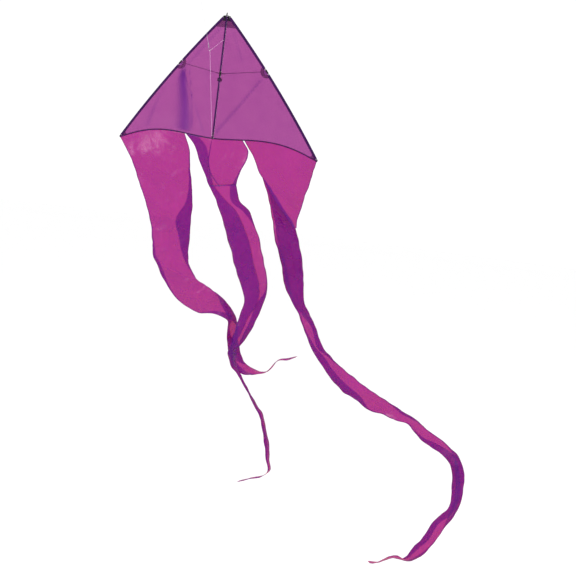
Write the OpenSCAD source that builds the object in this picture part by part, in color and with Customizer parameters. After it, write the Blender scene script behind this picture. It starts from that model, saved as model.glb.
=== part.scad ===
// Delta kite with three flowing tails, a two-leg bridle, a snap swivel and the start of its line.
// The kite stands upright: Z runs up the spine, X across the wings, and -Y out towards the line.
// The origin is the tow point, where the line's snap holds the bridle.

/* [Frame] */
// Length of the spine from the nose to its foot
spine_len = 820; // [700:10:980]
// Diameter of the spine rod
spine_d = 5; // [4:0.5:6]
// Distance from the spine to a wing tip, along the wing
tip_out = 716; // [600:2:860]
// How far a wing tip hangs below the foot of the spine
tip_drop = 70; // [40:2:100]
// How far a leading edge bows out of the straight line from nose to tip
edge_bow = 23; // [15:1:35]
// Diameter of the leading-edge rods
edge_d = 4.5; // [4:0.5:5.5]
// Angle each wing leans back from the plane across the spine
dihedral = 8; // [4:1:14]

/* [Spreader] */
// Height of the spreader's outer ends above the foot of the spine
spread_tip_z = 472; // [430:2:520]
// Height of the spreader's middle above the foot of the spine
spread_mid_z = 423; // [400:1:430]
// Diameter of the spreader rods
spread_d = 4.5; // [4:0.5:5.5]
// How far the spreader lies behind the sail
spread_back = 9; // [8.5:0.5:12]
// Gap round a spreader end in its wing clip
clip_gap = 0.3; // [0.2:0.1:0.6]

/* [Sail] */
// Thickness that stands for a layer of cloth
cloth = 1; // [0.6:0.1:1.5]
// How far the trailing edge is cut hollow
edge_hollow = 56; // [30:2:80]
// Width of the trailing edge's binding
binding_w = 8; // [6:1:12]
// Distance from the spine to the gap between two tails, along the wing
tail_gap = 208; // [180:2:240]
// Width of the gap between two tails
gap_w = 10; // [6:1:16]
// Gap between the sail's binding and a tail that swings under it
hinge_gap = 0.5; // [0.4:0.1:1]

/* [Bridle and line] */
// Distance from the spine to the tow point
tow_out = 233; // [180:1:280]
// Height of the tow point above the foot of the spine
tow_z = 555; // [480:1:620]
// Height of the upper bridle tab above the foot of the spine
upper_tab_z = 640; // [600:2:690]
// Height of the lower bridle tab above the foot of the spine
lower_tab_z = 18; // [10:1:34]
// Diameter of the bridle's cord
bridle_d = 1.8; // [1.2:0.1:2.4]
// Diameter of the snap's and the swivel's wire
wire_d = 1.4; // [1.2:0.1:1.8]
// Diameter of the flying line
line_d = 1.2; // [0.8:0.1:1.6]
// Angle of the line above the straight-out direction
line_rise = 50; // [30:1:65]

/* [Hidden] */
$fn = 32;

// Wall of a fabric sleeve, and its play round a rod
sleeve_wall = 0.8;
sleeve_play = 0.3;
spine_sleeve_r = spine_d / 2 + sleeve_play + sleeve_wall;
// Moulded caps and the ferrule stand this far out of their rods
cap_wall = 1.1;
ferrule_wall = 0.7;
edge_sleeve_in = edge_d / 2 + ferrule_wall + sleeve_play;
edge_sleeve_r = edge_sleeve_in + sleeve_wall;
// Gap between the fixed spine and a wing that turns round it
turn_gap = 0.5;

// The leading edge is an arc in the wing's own plane, through the nose and the tip
nose_pt = [0, spine_len];
tip_pt = [tip_out, -tip_drop];
edge_chord = norm(tip_pt - nose_pt);
edge_r = edge_chord * edge_chord / (8 * edge_bow) + edge_bow / 2;
edge_normal = [nose_pt[1] - tip_pt[1], tip_pt[0] - nose_pt[0]] / edge_chord;
edge_c = (nose_pt + tip_pt) / 2 - edge_normal * (edge_r - edge_bow);
nose_a = atan2(nose_pt[1] - edge_c[1], nose_pt[0] - edge_c[0]);
tip_a = atan2(tip_pt[1] - edge_c[1], tip_pt[0] - edge_c[0]);
function arc_deg(mm) = mm / edge_r * 180 / PI;
function edge_pt(a, off = 0) = edge_c + (edge_r + off) * [cos(a), sin(a)];

// Where the spreader meets the leading edge
clip_a = asin((spread_tip_z - edge_c[1]) / edge_r);
clip_pt = edge_pt(clip_a);
clip_half = 18;
spread_slope = atan((spread_tip_z - spread_mid_z) / clip_pt[0]);
spread_end = clip_pt[0] - 10.5;
spread_cap_l = 14;
spread_cap_r = spread_d / 2 + cap_wall;
socket_l = 34;
socket_wall = 1.6;
fitting_half = 15;
fitting_r = spine_d / 2 + 3.5;

// Heights along the spine where something wider than its sleeve goes round it
pocket_top = 40;
pocket_r = spine_sleeve_r + 1.6;
strap_z = spread_mid_z - 39;
strap_h = 12;
strap_half = 12;
strap_wall = 1.4;

// The trailing edge, from the foot of the spine (t = 0) to the tip (t = 1)
function hem_pt(t, drop = 0) =
    [tip_out * t, -tip_drop * t + edge_hollow * sin(180 * pow(t, 1.3)) - drop];

// The line's frame: its direction from the tow point
line_dir = [0, -cos(line_rise), sin(line_rise)];
hook_r = 7;
hook_l = 22;
barrel_from = 28;
barrel_l = 10;
barrel_r = 2.9;
pin_r = 0.95;
pin_gap = 0.05;
eye_at = 45;
eye_r = 3.5;
knot_at = 51;
line_from = 53;
line_len = 400;

// ---- Placing ----

// Every piece is drawn from the foot of the spine, then moved so that the tow point is the origin
module place() { translate([0, tow_out, -tow_z]) children(); }

// The wing's plane: X out along the wing, Y to its back, Z up. side is 1 for right and -1 for left
module on_wing(side) { place() mirror([side < 0 ? 1 : 0, 0, 0]) rotate([0, 0, dihedral]) children(); }

// A flat shape drawn in the wing's plane, from y0 to y1 behind it
module wing_sheet(y0, y1) { translate([0, y1, 0]) rotate([90, 0, 0]) linear_extrude(y1 - y0) children(); }

// A tube or rod bent along the leading edge between two angles
module edge_tube(a_top, a_low, outer, inner = 0)
{
    translate([edge_c[0], 0, edge_c[1]]) rotate([90, 0, 0]) rotate([0, 0, a_low])
        rotate_extrude(angle = a_top - a_low, $fn = 3600)
            translate([edge_r, 0]) difference() {
                circle(r = outer, $fn = 32);
                if (inner > 0) circle(r = inner, $fn = 32);
            }
}

// Along the spreader's axis, from its middle outwards
module on_spreader(side)
{
    on_wing(side) translate([0, spread_back, spread_mid_z]) rotate([0, 90 - spread_slope, 0]) children();
}

// Along the line, from the tow point outwards; X stays the kite's X
module on_line() { rotate([90 - line_rise, 0, 0]) children(); }

// ---- Cloth made as a closed sheet from rows of three points ----

function unit(v) = v / max(norm(v), 1e-9);
// A row across a tail: left hem, middle, right hem. lean tips it in the XZ plane, turn swings it in depth
function strip(x, y, z, w, lean, turn) =
    let (d = w * [cos(turn) * cos(lean), sin(turn), cos(turn) * sin(lean)], c = [x, y, z]) [c - d / 2, c, c + d / 2];
function row_normal(rows, i, j) =
    let (
        a = rows[max(i - 1, 0)][j], b = rows[min(i + 1, len(rows) - 1)][j],
        l = rows[i][max(j - 1, 0)], r = rows[i][min(j + 1, len(rows[0]) - 1)]
    ) unit(cross(r - l, b - a));

module cloth_sheet(rows)
{
    n = len(rows);
    m = len(rows[0]);
    side = [for (s = [-1, 1]) [for (i = [0:n - 1], j = [0:m - 1])
        rows[i][j] + s * cloth / 2 * row_normal(rows, i, j)]];
    function at(s, i, j) = s * n * m + i * m + j;
    faces = [
        for (i = [0:n - 2], j = [0:m - 2]) each [
            [at(0, i, j), at(0, i, j + 1), at(0, i + 1, j + 1)],
            [at(0, i, j), at(0, i + 1, j + 1), at(0, i + 1, j)],
            [at(1, i, j), at(1, i + 1, j + 1), at(1, i, j + 1)],
            [at(1, i, j), at(1, i + 1, j), at(1, i + 1, j + 1)]
        ],
        for (i = [0:n - 2]) each [
            [at(0, i, 0), at(0, i + 1, 0), at(1, i + 1, 0)],
            [at(0, i, 0), at(1, i + 1, 0), at(1, i, 0)],
            [at(0, i, m - 1), at(1, i + 1, m - 1), at(0, i + 1, m - 1)],
            [at(0, i, m - 1), at(1, i, m - 1), at(1, i + 1, m - 1)]
        ],
        for (j = [0:m - 2]) each [
            [at(0, 0, j), at(1, 0, j + 1), at(0, 0, j + 1)],
            [at(0, 0, j), at(1, 0, j), at(1, 0, j + 1)],
            [at(0, n - 1, j), at(0, n - 1, j + 1), at(1, n - 1, j + 1)],
            [at(0, n - 1, j), at(1, n - 1, j + 1), at(1, n - 1, j)]
        ]
    ];
    place() polyhedron(points = concat(side[0], side[1]), faces = faces, convexity = 10);
}

// A point of the trailing edge in the kite's frame, just below the binding
function hem_3d(side, t, gap = hinge_gap) =
    let (p = hem_pt(t, binding_w / 2 + gap))
    [side * p[0] * cos(dihedral), p[0] * sin(dihedral), p[1]];

// ---- Spine ----

module spine_rod() { color("#2A0E30") place() translate([0, 0, 4]) cylinder(h = spine_len - 10, d = spine_d); }

module spine_nose_cap()
{
    color("#1A0A1E") place() difference() {
        union() {
            translate([0, 0, spine_len - 20]) cylinder(h = 18, r = spine_sleeve_r);
            translate([0, 0, spine_len - 2]) sphere(r = spine_sleeve_r);
        }
        translate([0, 0, spine_len - 21]) cylinder(h = 15, d = spine_d);
    }
}

module spine_tail_cap()
{
    color("#1A0A1E") place() difference() {
        translate([0, 0, -2]) cylinder(h = 18, r = spine_sleeve_r);
        translate([0, 0, 4]) cylinder(h = 13, d = spine_d);
    }
}

module spine_sleeve()
{
    color("#6A1E70") place() for (part = [[25, spread_mid_z - fitting_half - 3], [spread_mid_z + fitting_half + 3, spine_len - 25]])
        translate([0, 0, part[0]]) difference() {
            cylinder(h = part[1] - part[0], r = spine_sleeve_r);
            translate([0, 0, -1]) cylinder(h = part[1] - part[0] + 2, r = spine_d / 2 + sleeve_play);
        }
}

module spine_tail_pocket()
{
    color("#4A1050") place() difference() {
        translate([0, 0, -4]) cylinder(h = pocket_top + 4, r = pocket_r);
        translate([0, 0, -2]) cylinder(h = pocket_top + 3, r = spine_sleeve_r);
    }
}

// A stitched tab that sticks out in front of the spine, with the hole its bridle loop runs through
knot_y = -9;
tab_hole_r = 2.2;
tab_t = 1.2;
module bridle_tab(z, root_r)
{
    place() difference() {
        translate([-tab_t / 2, 0, z]) rotate([90, 0, 90]) linear_extrude(tab_t) difference() {
            union() {
                translate([knot_y, -5]) square([-knot_y - root_r + 1, 10]);
                translate([knot_y, 0]) circle(r = tab_hole_r + 1.4);
            }
            translate([knot_y, 0]) circle(r = tab_hole_r);
        }
        translate([0, 0, z - 10]) cylinder(h = 20, r = root_r);
    }
}
module upper_bridle_tab() { color("#3A0C40") bridle_tab(upper_tab_z, spine_sleeve_r); }
module lower_bridle_tab() { color("#3A0C40") bridle_tab(lower_tab_z, pocket_r); }

module keeper_strap()
{
    color("#1E0A22") place() translate([0, 0, strap_z - strap_h / 2]) linear_extrude(strap_h) difference() {
        oval(spine_sleeve_r + strap_wall);
        oval(spine_sleeve_r);
    }
}
module oval(r)
{
    reach = strap_half - spine_sleeve_r - strap_wall;
    for (s = [-1, 1]) translate([s * reach, 0]) circle(r = r);
    translate([-reach, -r]) square([2 * reach, 2 * r]);
}

module centre_fitting()
{
    color("#1A0A24") difference() {
        union() {
            place() translate([0, 0, spread_mid_z - fitting_half]) cylinder(h = 2 * fitting_half, r = fitting_r);
            place() translate([-7, 3, spread_mid_z - 6]) cube([14, spread_back - 2, 12]);
            for (side = [-1, 1]) on_spreader(side) translate([0, 0, 1]) cylinder(h = socket_l, r = spread_d / 2 + socket_wall);
        }
        place() translate([0, 0, spread_mid_z - fitting_half - 1]) cylinder(h = 2 * fitting_half + 2, d = spine_d);
        for (side = [-1, 1]) on_spreader(side) translate([0, 0, 8]) cylinder(h = socket_l, d = spread_d);
    }
}

// ---- Spreader ----

spread_len = spread_end / cos(spread_slope);
module spreader_rod(side) { on_spreader(side) translate([0, 0, 8]) cylinder(h = spread_len - 8, d = spread_d); }
module spreader_cap(side)
{
    on_spreader(side) difference() {
        translate([0, 0, spread_len - spread_cap_l]) cylinder(h = spread_cap_l + 1.5, r = spread_cap_r);
        translate([0, 0, spread_len - spread_cap_l - 1]) cylinder(h = spread_cap_l + 1, d = spread_d);
    }
}
module left_spreader_rod() { color("#2A1034") spreader_rod(-1); }
module right_spreader_rod() { color("#2A1034") spreader_rod(1); }
module left_spreader_cap() { color("#1A0A24") spreader_cap(-1); }
module right_spreader_cap() { color("#1A0A24") spreader_cap(1); }

// ---- The yoke that joins the sail to the middle tail ----

yoke_t = (tail_gap - gap_w / 2) / tip_out;
yoke_gap = 2.5;
// How far the middle tail starts below the yoke, so that it can swing forwards
waist_drop = 5;
crease = [[0, 0, -7.5], [-4, -8, -60], [-2, -16, -160], [34, -22, -240], [100, -22, -299]];
yoke_left = [hem_3d(-1, yoke_t, yoke_gap), [-127, 18, -60], [-73, 6, -162], [-16, -4, -250], [21, -12, -312]];
yoke_right = [hem_3d(1, yoke_t, yoke_gap), [254, 20, -60], [246, 6, -127], [218, -4, -210], [204, -12, -282]];
module centre_tail_left_yoke()
{
    color("#A03090") cloth_sheet([for (i = [0:4]) [
        yoke_left[i],
        i == 0 ? hem_3d(-1, yoke_t / 2, yoke_gap) : (yoke_left[i] + crease[i]) / 2,
        crease[i] - [2, 0, 0]
    ]]);
}
module centre_tail_right_yoke()
{
    color("#A03090") cloth_sheet([for (i = [0:4]) [
        crease[i] + [0.5, 0, 0],
        i == 0 ? hem_3d(1, yoke_t / 2, yoke_gap) : (yoke_right[i] + crease[i]) / 2,
        yoke_right[i]
    ]]);
}

// ---- Wings ----

hem_steps = 24;
inner_x = pocket_r + turn_gap;
// The trailing edge as points, from the foot of the spine outwards, moved up by rise
function hem_line(rise) =
    let (t0 = inner_x / tip_out)
    [for (i = [0:hem_steps]) let (t = t0 + (1 - t0) * i / hem_steps) hem_pt(t, -rise)];

// Everything inside the leading-edge sleeve
arc_steps = 48;
module inside_edge()
{
    from = nose_a + arc_deg(40);
    to = tip_a - arc_deg(60);
    polygon(concat(
        [for (i = [0:arc_steps]) edge_pt(from + (to - from) * i / arc_steps, -edge_sleeve_r)],
        [[0, -tip_out]], [[-tip_out, 0]], [[-tip_out, spine_len + 40]]
    ));
}

module sail_shape()
{
    difference() {
        intersection() {
            inside_edge();
            polygon(concat(hem_line(binding_w / 2), [[tip_out + 40, spine_len], [inner_x, spine_len]]));
        }
        // Room for the fitting, the strap and the wing clip
        translate([0, spread_mid_z - fitting_half - 3]) square([fitting_r + turn_gap, 2 * fitting_half + 6]);
        translate([0, strap_z - strap_h / 2 - 2]) square([strap_half + 1.5, strap_h + 4]);
        translate(clip_pt) circle(r = clip_half + 4);
    }
}

module sail_panel(side) { on_wing(side) wing_sheet(-cloth / 2, cloth / 2) sail_shape(); }

// Doubled cloth sewn behind the sail
module patch(side)
{
    on_wing(side) wing_sheet(cloth / 2, cloth * 1.3) intersection() { sail_shape(); children(); }
}
module nose_patch(side) { patch(side) translate([0, spine_len - 95]) square([120, 100]); }
module clip_patch(side) { patch(side) translate(clip_pt) circle(r = clip_half + 26); }
module tip_patch(side) { patch(side) translate(tip_pt) circle(r = 62); }

module edge_rod(side, from, to) { on_wing(side) edge_tube(from, to, edge_d / 2); }
ferrule_a = clip_a - arc_deg(60);
module upper_edge_rod(side) { edge_rod(side, nose_a - arc_deg(30), ferrule_a + arc_deg(0.3)); }
module lower_edge_rod(side) { edge_rod(side, ferrule_a - arc_deg(0.3), tip_a + arc_deg(16)); }
module edge_ferrule(side)
{
    on_wing(side) edge_tube(ferrule_a + arc_deg(22), ferrule_a - arc_deg(22), edge_d / 2 + ferrule_wall, edge_d / 2);
}
module edge_caps(side)
{
    on_wing(side) difference() {
        union() {
            edge_tube(nose_a - arc_deg(26), nose_a - arc_deg(38), edge_d / 2 + cap_wall);
            edge_tube(tip_a + arc_deg(22), tip_a + arc_deg(10), edge_d / 2 + cap_wall);
        }
        edge_tube(nose_a - arc_deg(30), nose_a - arc_deg(39), edge_d / 2);
        edge_tube(tip_a + arc_deg(23), tip_a + arc_deg(16), edge_d / 2);
    }
}
module edge_sleeve(side)
{
    on_wing(side) {
        edge_tube(nose_a - arc_deg(40), clip_a + arc_deg(clip_half + 6), edge_sleeve_r, edge_sleeve_in);
        edge_tube(clip_a - arc_deg(clip_half + 6), tip_a + arc_deg(26), edge_sleeve_r, edge_sleeve_in);
    }
}

// A moulded clip: a tube on the leading edge, and a cup open at the back that the spreader's end presses into
clip_wall = 1.6;
cup_in = spread_cap_r + clip_gap;
module wing_clip(side)
{
    difference() {
        union() {
            on_wing(side) edge_tube(clip_a + arc_deg(14), clip_a - arc_deg(14), edge_d / 2 + 2.4);
            on_wing(side) translate([spread_end - 4, 1.5, spread_tip_z - 9]) cube([13, spread_back - cup_in - 1.5, 17]);
            on_spreader(side) translate([-cup_in - clip_wall, -cup_in - clip_wall, spread_len - 11])
                cube([2 * (cup_in + clip_wall), cup_in + clip_wall + 2, 15]);
        }
        on_wing(side) edge_tube(clip_a + arc_deg(15), clip_a - arc_deg(15), edge_d / 2);
        on_spreader(side) translate([-cup_in, -cup_in, spread_len - 12]) cube([2 * cup_in, cup_in + 3, 14]);
    }
}

module edge_binding(side)
{
    on_wing(side) wing_sheet(-cloth * 0.9, cloth * 0.9) intersection() {
        inside_edge();
        polygon(concat(hem_line(-binding_w / 2), [for (i = [hem_steps:-1:0]) hem_line(binding_w / 2)[i]]));
    }
}

module left_sail_panel() { color("#B468B0") sail_panel(-1); }
module left_nose_patch() { color("#30083A") nose_patch(-1); }
module left_upper_edge_rod() { color("#20062A") upper_edge_rod(-1); }
module left_lower_edge_rod() { color("#20062A") lower_edge_rod(-1); }
module left_edge_ferrule() { color("#101014") edge_ferrule(-1); }
module left_edge_caps() { color("#141018") edge_caps(-1); }
module left_edge_sleeve() { color("#4A0E52") edge_sleeve(-1); }
module left_wing_clip() { color("#141018") wing_clip(-1); }
module left_clip_patch() { color("#7A3A80") clip_patch(-1); }
module left_tip_patch() { color("#7A3A80") tip_patch(-1); }
module left_edge_binding() { color("#5A1060") edge_binding(-1); }

module right_sail_panel() { color("#B468B0") sail_panel(1); }
module right_nose_patch() { color("#30083A") nose_patch(1); }
module right_upper_edge_rod() { color("#20062A") upper_edge_rod(1); }
module right_lower_edge_rod() { color("#20062A") lower_edge_rod(1); }
module right_edge_ferrule() { color("#101014") edge_ferrule(1); }
module right_edge_caps() { color("#141018") edge_caps(1); }
module right_edge_sleeve() { color("#4A0E52") edge_sleeve(1); }
module right_wing_clip() { color("#141018") wing_clip(1); }
module right_clip_patch() { color("#7A3A80") clip_patch(1); }
module right_tip_patch() { color("#7A3A80") tip_patch(1); }
module right_edge_binding() { color("#5A1060") edge_binding(1); }

// ---- Tails ----

// Each head starts along the trailing edge; the rows below are x, depth, z, width, lean, turn
side_t = (tail_gap + gap_w / 2) / tip_out;
tip_t = 0.985;
left_run = [
    [-380, 34, -134, 446, 7, 0], [-334, 27, -255, 394, 5, 0], [-268, 23, -434, 344, 5, 0],
    [-234, 20, -564, 294, 10, 0], [-214, 20, -711, 264, 6, 0], [-203, 22, -805, 255, 5, 0],
    [-163, 27, -889, 226, 11, 0], [-99, 34, -974, 220, 19, 0], [-16, 42, -1037, 220, 36, 0],
    [79, 50, -1079, 192, 50, 0], [171, 56, -1102, 113, 53, 20], [254, 58, -1154, 82, 51, 55],
    [275, 58, -1216, 82, 18, 50], [283, 58, -1292, 82, 33, 35], [304, 58, -1365, 82, 31, 42],
    [336, 58, -1427, 82, 46, 42], [387, 58, -1477, 76, 82, 34], [450, 56, -1488, 64, 97, 56],
    [499, 55, -1488, 54, 97, 78], [553, 54, -1470, 48, 97, 84], [621, 54, -1385, 46, 117, 84],
    [685, 54, -1367, 44, 97, 72], [741, 54, -1344, 34, 97, 82]
];
centre_run = [
    [165, -16, -391, 170, 4, 0], [222, -18, -456, 202, 8, 0], [266, -20, -542, 212, 8, 0],
    [319, -23, -650, 210, 13, 0], [369, -27, -781, 200, 16, 0], [430, -32, -936, 173, 12, 0],
    [433, -38, -1034, 131, -3, 0], [408, -44, -1133, 125, 0, 0], [378, -49, -1237, 90, -5, 20],
    [350, -52, -1311, 74, -24, 52], [324, -52, -1362, 66, 16, 60], [332, -52, -1404, 60, 16, 70],
    [355, -50, -1458, 56, 29, 78], [388, -46, -1495, 54, 21, 84], [427, -42, -1552, 52, 33, 90],
    [487, -36, -1635, 52, 30, 90], [539, -32, -1704, 54, 34, 82], [570, -28, -1741, 56, 48, 80],
    [606, -24, -1842, 58, 18, 82], [637, -20, -1949, 58, 10, 74], [652, -18, -2033, 54, 10, 84],
    [669, -16, -2099, 50, 39, 84], [627, -16, -2143, 46, 97, 82], [547, -16, -2172, 42, 97, 83],
    [467, -16, -2206, 36, 97, 83]
];
// The right tail is folded back on itself below the wing tip. Its front layer hangs from the
// trailing edge and narrows to nothing; each row is its hem and the fold
right_front = [
    [[285, 58, -100], [684, 96, -150]], [[330, 54, -180], [666, 98, -235]],
    [[381, 52, -244], [649, 100, -301]], [[459, 60, -350], [633, 103, -384]],
    [[535, 80, -441], [614, 104, -470]], [[590, 92, -500], [608, 100, -512]]
];
// The layer behind it starts at the fold and runs on down as the streamer; each row is its hem and the fold
right_back = [
    [[652, 116, -146], [682, 104, -153]], [[560, 134, -212], [664, 106, -236]],
    [[470, 144, -262], [647, 108, -302]], [[424, 142, -372], [631, 112, -385]],
    [[440, 130, -470], [616, 114, -478]], [[466, 120, -530], [628, 110, -532]]
];
right_run = [
    [566, 106, -597, 145, 8, 0], [607, 104, -724, 145, 8, 0], [654, 104, -905, 127, 1, 0],
    [684, 104, -980, 106, -10, 0], [738, 104, -1060, 82, -3, 20], [787, 104, -1143, 87, 13, 0],
    [857, 106, -1268, 82, 9, 0], [905, 108, -1320, 82, 25, 25], [982, 110, -1392, 100, 52, 0],
    [1095, 112, -1471, 120, 63, 0], [1193, 112, -1519, 111, 55, 0], [1284, 112, -1565, 118, 55, 0],
    [1374, 112, -1589, 91, 60, 0], [1463, 112, -1622, 82, 51, 35], [1536, 112, -1643, 82, 51, 60],
    [1589, 112, -1680, 82, 43, 50], [1648, 112, -1717, 80, 46, 0], [1720, 112, -1752, 80, 46, 10],
    [1786, 112, -1790, 80, 35, 38], [1843, 112, -1831, 80, 33, 36], [1886, 112, -1911, 80, 3, 20],
    [1898, 112, -2011, 86, 28, 0], [1895, 112, -2115, 80, 21, 20], [1858, 112, -2196, 80, -16, 32],
    [1808, 112, -2271, 81, -37, 0], [1754, 112, -2378, 80, -20, 15], [1704, 112, -2452, 80, -36, 20],
    [1634, 112, -2529, 80, -22, 52], [1572, 112, -2523, 70, -82, 60], [1520, 112, -2532, 62, -82, 66],
    [1445, 112, -2583, 56, -82, 66], [1380, 112, -2597, 48, -82, 56]
];
function run_rows(run) = [for (s = run) strip(s[0], s[1], s[2], s[3], s[4], s[5])];

module left_tail()
{
    head = [hem_3d(-1, tip_t), hem_3d(-1, (tip_t + side_t) / 2), hem_3d(-1, side_t)];
    color("#B03C98") cloth_sheet(concat([head], run_rows(left_run)));
}
function pair_rows(pairs) = [for (p = pairs) [p[0], (p[0] + p[1]) / 2, p[1]]];
module right_tail_front()
{
    head = [hem_3d(1, side_t), hem_3d(1, (tip_t + side_t) / 2), hem_3d(1, tip_t)];
    color("#B03C98") cloth_sheet(concat([head], pair_rows(right_front)));
}
module right_tail() { color("#B03C98") cloth_sheet(concat(pair_rows(right_back), run_rows(right_run))); }
module centre_tail()
{
    drop = [0, 0, -waist_drop];
    head = [yoke_left[4] + drop, crease[4] + drop, yoke_right[4] + drop];
    color("#B03C98") cloth_sheet(concat([head], run_rows(centre_run)));
}

// ---- Bridle ----

bridle_r = bridle_d / 2;
ring_r = 4;
ring_out = tow_out + knot_y - 2 * ring_r;
tow_ring_y = ring_r - bridle_r - wire_d / 2 - 0.2;
tow_knot_y = tow_ring_y + ring_r + 1;
knot_r = bridle_r * 2.2;

module rod_between(a, b, r)
{
    d = b - a;
    translate(a) rotate([0, acos(d[2] / norm(d)), atan2(d[1], d[0])]) cylinder(h = norm(d), r = r);
}
module leg(z)
{
    a = [0, ring_out - bridle_r, z - tow_z];
    b = [0, tow_knot_y, 0];
    u = (b - a) / norm(b - a);
    rod_between(a + u * knot_r, b - u * knot_r, bridle_r);
}
module upper_bridle_leg() { color("#E8B8DC") leg(upper_tab_z); }
module lower_bridle_leg() { color("#E8B8DC") leg(lower_tab_z); }

// The loops through the tabs, each with its knot
module bridle_knots()
{
    color("#D898C8") for (z = [upper_tab_z, lower_tab_z]) translate([0, 0, z - tow_z]) union() {
        translate([0, ring_out + ring_r, 0]) rotate_extrude() translate([ring_r, 0]) circle(r = bridle_r);
        translate([0, ring_out - bridle_r, 0]) sphere(r = knot_r);
    }
}
module tow_loop()
{
    color("#D898C8") union() {
        translate([0, tow_ring_y, 0]) rotate([0, 90, 0]) rotate_extrude() translate([ring_r, 0]) circle(r = bridle_r);
        translate([0, tow_knot_y, 0]) sphere(r = knot_r);
    }
}

// ---- Snap and swivel, drawn along the line ----

wire_r = wire_d / 2;
module snap_hook()
{
    color("#8A8A90") on_line() union() {
        union() {
            rod_between([-hook_r, 0, 0], [hook_r, 0, 0], wire_r);
            rod_between([-hook_r, 0, 0], [-hook_r, 0, hook_l], wire_r);
            rod_between([-hook_r, 0, hook_l], [hook_r, 0, hook_l], wire_r);
            rod_between([hook_r, 0, 0], [hook_r, 0, 3], wire_r);
            rod_between([hook_r, 0, hook_l - 3], [hook_r, 0, hook_l], wire_r);
            rod_between([0, 0, hook_l], [0, 0, barrel_from], wire_r);
            for (p = [[-1, 0], [1, 0], [-1, 1], [1, 1]]) translate([p[0] * hook_r, 0, p[1] * hook_l]) sphere(r = wire_r);
        }
    }
}
module snap_gate()
{
    color("#9A9AA0") on_line() translate([hook_r, 0, 0]) union() {
        rod_between([-2 * wire_r - 0.3, 0, 1.2], [-2 * wire_r - 0.3, 0, hook_l - 5], wire_r);
        rod_between([-2 * wire_r - 0.3, 0, hook_l - 5], [0, 0, hook_l - 5], wire_r);
        translate([-2 * wire_r - 0.3, 0, hook_l - 5]) sphere(r = wire_r);
    }
}
module swivel_barrel()
{
    color("#70707A") on_line() difference() {
        translate([0, 0, barrel_from]) cylinder(h = barrel_l, r = barrel_r);
        translate([0, 0, barrel_from + 2]) cylinder(h = barrel_l - 4, r = barrel_r - 0.8);
        translate([0, 0, barrel_from + 3]) cylinder(h = barrel_l, r = pin_r + pin_gap);
    }
}
module swivel_eye()
{
    color("#9A9AA0") on_line() union() {
        translate([0, 0, barrel_from + 3]) cylinder(h = 3, r = barrel_r - 1.1);
        translate([0, 0, barrel_from + 3]) cylinder(h = eye_at - eye_r - barrel_from - 3, r = pin_r);
        translate([0, 0, eye_at]) rotate([90, 0, 0]) rotate_extrude() translate([eye_r, 0]) circle(r = wire_r);
    }
}

// ---- Flying line ----

line_r = line_d / 2;
line_ring_r = 3;
module line_knot()
{
    color("#C8C8CC") on_line() union() {
        translate([0, 0, knot_at - 1]) rotate([0, 90, 0]) rotate_extrude() translate([line_ring_r, 0]) circle(r = line_r);
        translate([0, 0, knot_at + line_ring_r]) sphere(r = line_r * 2.6);
    }
}
module flying_line() { color("#C8C8CC") on_line() translate([0, 0, line_from + 3]) cylinder(h = line_len, r = line_r); }
module line_end_loop()
{
    color("#C8C8CC") on_line() translate([0, 0, line_from + 3 + line_len + line_r * 2.6]) union() {
        sphere(r = line_r * 2.6);
        translate([0, 0, 10]) rotate([0, 90, 0]) rotate_extrude() translate([10, 0]) circle(r = line_r);
    }
}

spine_rod();
spine_nose_cap();
spine_tail_cap();
spine_sleeve();
spine_tail_pocket();
upper_bridle_tab();
lower_bridle_tab();
keeper_strap();
centre_fitting();
left_spreader_rod();
right_spreader_rod();
left_spreader_cap();
right_spreader_cap();
centre_tail_left_yoke();
centre_tail_right_yoke();
left_sail_panel();
left_nose_patch();
left_upper_edge_rod();
left_lower_edge_rod();
left_edge_ferrule();
left_edge_caps();
left_edge_sleeve();
left_wing_clip();
left_clip_patch();
left_tip_patch();
left_edge_binding();
right_sail_panel();
right_nose_patch();
right_upper_edge_rod();
right_lower_edge_rod();
right_edge_ferrule();
right_edge_caps();
right_edge_sleeve();
right_wing_clip();
right_clip_patch();
right_tip_patch();
right_edge_binding();
left_tail();
right_tail_front();
right_tail();
centre_tail();
upper_bridle_leg();
lower_bridle_leg();
bridle_knots();
tow_loop();
snap_hook();
snap_gate();
swivel_barrel();
swivel_eye();
line_knot();
flying_line();
line_end_loop();
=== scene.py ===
import math

import bmesh
import bpy
from mathutils import Matrix, Vector, noise


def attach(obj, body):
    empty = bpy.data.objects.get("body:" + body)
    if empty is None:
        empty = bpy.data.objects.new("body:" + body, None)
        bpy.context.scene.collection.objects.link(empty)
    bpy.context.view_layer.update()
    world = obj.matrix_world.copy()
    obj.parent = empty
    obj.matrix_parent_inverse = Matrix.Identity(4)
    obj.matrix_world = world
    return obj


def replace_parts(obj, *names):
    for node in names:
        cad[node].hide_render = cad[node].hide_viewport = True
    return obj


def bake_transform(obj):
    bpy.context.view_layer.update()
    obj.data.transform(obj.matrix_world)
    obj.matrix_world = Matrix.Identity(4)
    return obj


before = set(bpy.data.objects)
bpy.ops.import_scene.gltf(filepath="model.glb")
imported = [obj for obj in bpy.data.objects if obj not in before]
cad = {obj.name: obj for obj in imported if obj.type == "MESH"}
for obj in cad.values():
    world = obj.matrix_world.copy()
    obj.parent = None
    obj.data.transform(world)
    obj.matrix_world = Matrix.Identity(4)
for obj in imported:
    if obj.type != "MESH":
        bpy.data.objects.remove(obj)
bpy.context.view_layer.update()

# ---- Camera ----
# A long lens from the front and a little to the right, tipped to one side, as a kite in the air
# is seen.

LOOK_AT = Vector((0.642, 0.233, -1.454))
AROUND, ABOVE, TIPPED = math.radians(18), math.radians(5), math.radians(7)
DISTANCE = 11.2

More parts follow.
